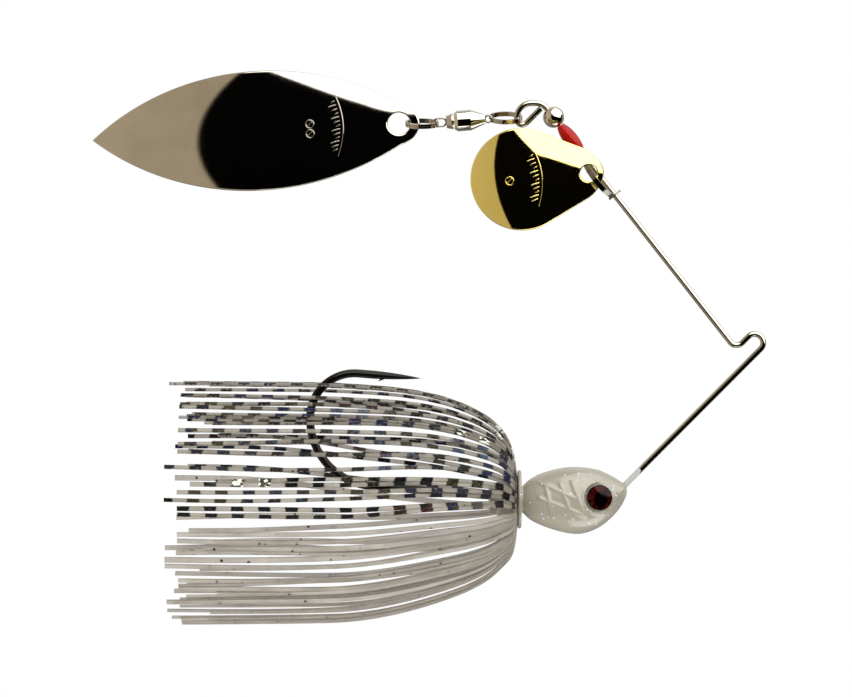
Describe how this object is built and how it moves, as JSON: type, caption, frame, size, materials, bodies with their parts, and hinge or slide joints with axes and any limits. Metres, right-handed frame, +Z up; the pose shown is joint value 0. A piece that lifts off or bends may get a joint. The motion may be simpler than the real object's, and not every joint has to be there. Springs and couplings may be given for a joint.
{
  "type": "spinnerbait",
  "caption": "Spinnerbait fishing lure: bent wire arm with a cast head, hook and skirt below, and a round clevis blade and a long blade on a swivel above.",
  "frame": {"origin": "centre of the line-tie bend in the wire frame", "axes": "+X forwards, the way the lure is pulled; +Z up, from the head towards the blades; +Y to the lure's left; the wire frame lies in y = 0"},
  "size_m": [0.105, 0.0374, 0.0858],
  "materials": {
    "wire_frame": "polished stainless wire, last millimetres by the head coated white",
    "hook": "black nickel plate, glossy",
    "head": "glossy pearl white paint over cast lead, fine coloured glitter",
    "eye": "dark red iris around a black pupil under clear lacquer",
    "skirt_band": "moulded elastic band, pearl",
    "skirt_printed": "pearl silicone with dark metallic printed bars",
    "skirt_plain": "pearl silicone with fine dark specks",
    "ball_bead": "mirror nickel plate",
    "oval_bead": "clear ruby red, moulded",
    "clevis": "nickel plated strip",
    "colorado_blade": "gold plated brass sheet, mirror polished, stamped",
    "split_rings": "nickel plated spring wire",
    "swivel_shell": "nickel plated brass, turned and crimped",
    "swivel_wire": "stainless wire",
    "bearing_balls": "ground steel",
    "willow_blade": "nickel plated brass sheet, mirror polished, stamped"
  },
  "bodies": {
    "lure_body": {"wire_frame": "wire_frame", "hook": "hook", "head": "head", "eye_near": "eye", "eye_far": "eye", "skirt_band": "skirt_band", "skirt_printed_near": "skirt_printed", "skirt_printed_far": "skirt_printed", "skirt_plain_near": "skirt_plain", "skirt_plain_far": "skirt_plain"},
    "ball_bead": {"ball_bead": "ball_bead"},
    "oval_bead": {"oval_bead": "oval_bead"},
    "clevis": {"clevis": "clevis"},
    "colorado_blade": {"colorado_blade": "colorado_blade"},
    "split_ring_front": {"split_ring_front": "split_rings"},
    "swivel_barrel": {"swivel_barrel": "swivel_shell", "swivel_front_eye": "swivel_wire"},
    "swivel_bearings": {"swivel_bearings": "bearing_balls"},
    "swivel_shaft": {"swivel_shaft": "swivel_wire", "swivel_collet": "swivel_shell", "swivel_rear_eye": "swivel_wire"},
    "split_ring_rear": {"split_ring_rear": "split_rings"},
    "willow_blade": {"willow_blade": "willow_blade"}
  },
  "joints": [
    {"name": "ball_bead_spin", "type": "hinge", "parent": "lure_body", "child": "ball_bead", "pos_m": [-0.03114, 0, 0.03495], "axis": [-0.6179, 0, 0.7863], "continuous": true},
    {"name": "bead_slide", "type": "slide", "parent": "lure_body", "child": "oval_bead", "axis": [0.6179, 0, -0.7863], "range_m": [0, 0.027]},
    {"name": "clevis_spin", "type": "hinge", "parent": "oval_bead", "child": "clevis", "pos_m": [-0.02384, 0, 0.02565], "axis": [-0.6179, 0, 0.7863], "continuous": true},
    {"name": "colorado_swing", "type": "hinge", "parent": "clevis", "child": "colorado_blade", "pos_m": [-0.0253, -0.0038, 0.0263], "axis": [-0.0906, 0, 0.9959], "range_deg": [0, 50]},
    {"name": "front_ring_yaw", "type": "hinge", "parent": "lure_body", "child": "split_ring_front", "pos_m": [-0.03685, 0, 0.03484], "axis": [0, 0, 1], "range_deg": [-50, 30]},
    {"name": "swivel_pitch", "type": "hinge", "parent": "split_ring_front", "child": "swivel_barrel", "pos_m": [-0.041, 0, 0.0348], "axis": [0, 1, 0], "range_deg": [-25, 60]},
    {"name": "swivel_spin", "type": "hinge", "parent": "swivel_barrel", "child": "swivel_shaft", "pos_m": [-0.044, 0, 0.0345], "axis": [0.9973, 0, 0.0732], "continuous": true},
    {"name": "bearing_orbit", "type": "hinge", "parent": "swivel_barrel", "child": "swivel_bearings", "pos_m": [-0.044, 0, 0.0345], "axis": [0.9973, 0, 0.0732], "continuous": true},
    {"name": "rear_ring_yaw", "type": "hinge", "parent": "swivel_shaft", "child": "split_ring_rear", "pos_m": [-0.04911, 0, 0.03395], "axis": [0, 0, 1], "range_deg": [-28, 28]},
    {"name": "willow_pitch", "type": "hinge", "parent": "split_ring_rear", "child": "willow_blade", "pos_m": [-0.05397, 0, 0.03395], "axis": [0, 1, 0], "range_deg": [-10, 60]}
  ],
  "couplings": [
    {"joint": "bearing_orbit", "follows": "swivel_spin", "ratio": 0.5}
  ]
}
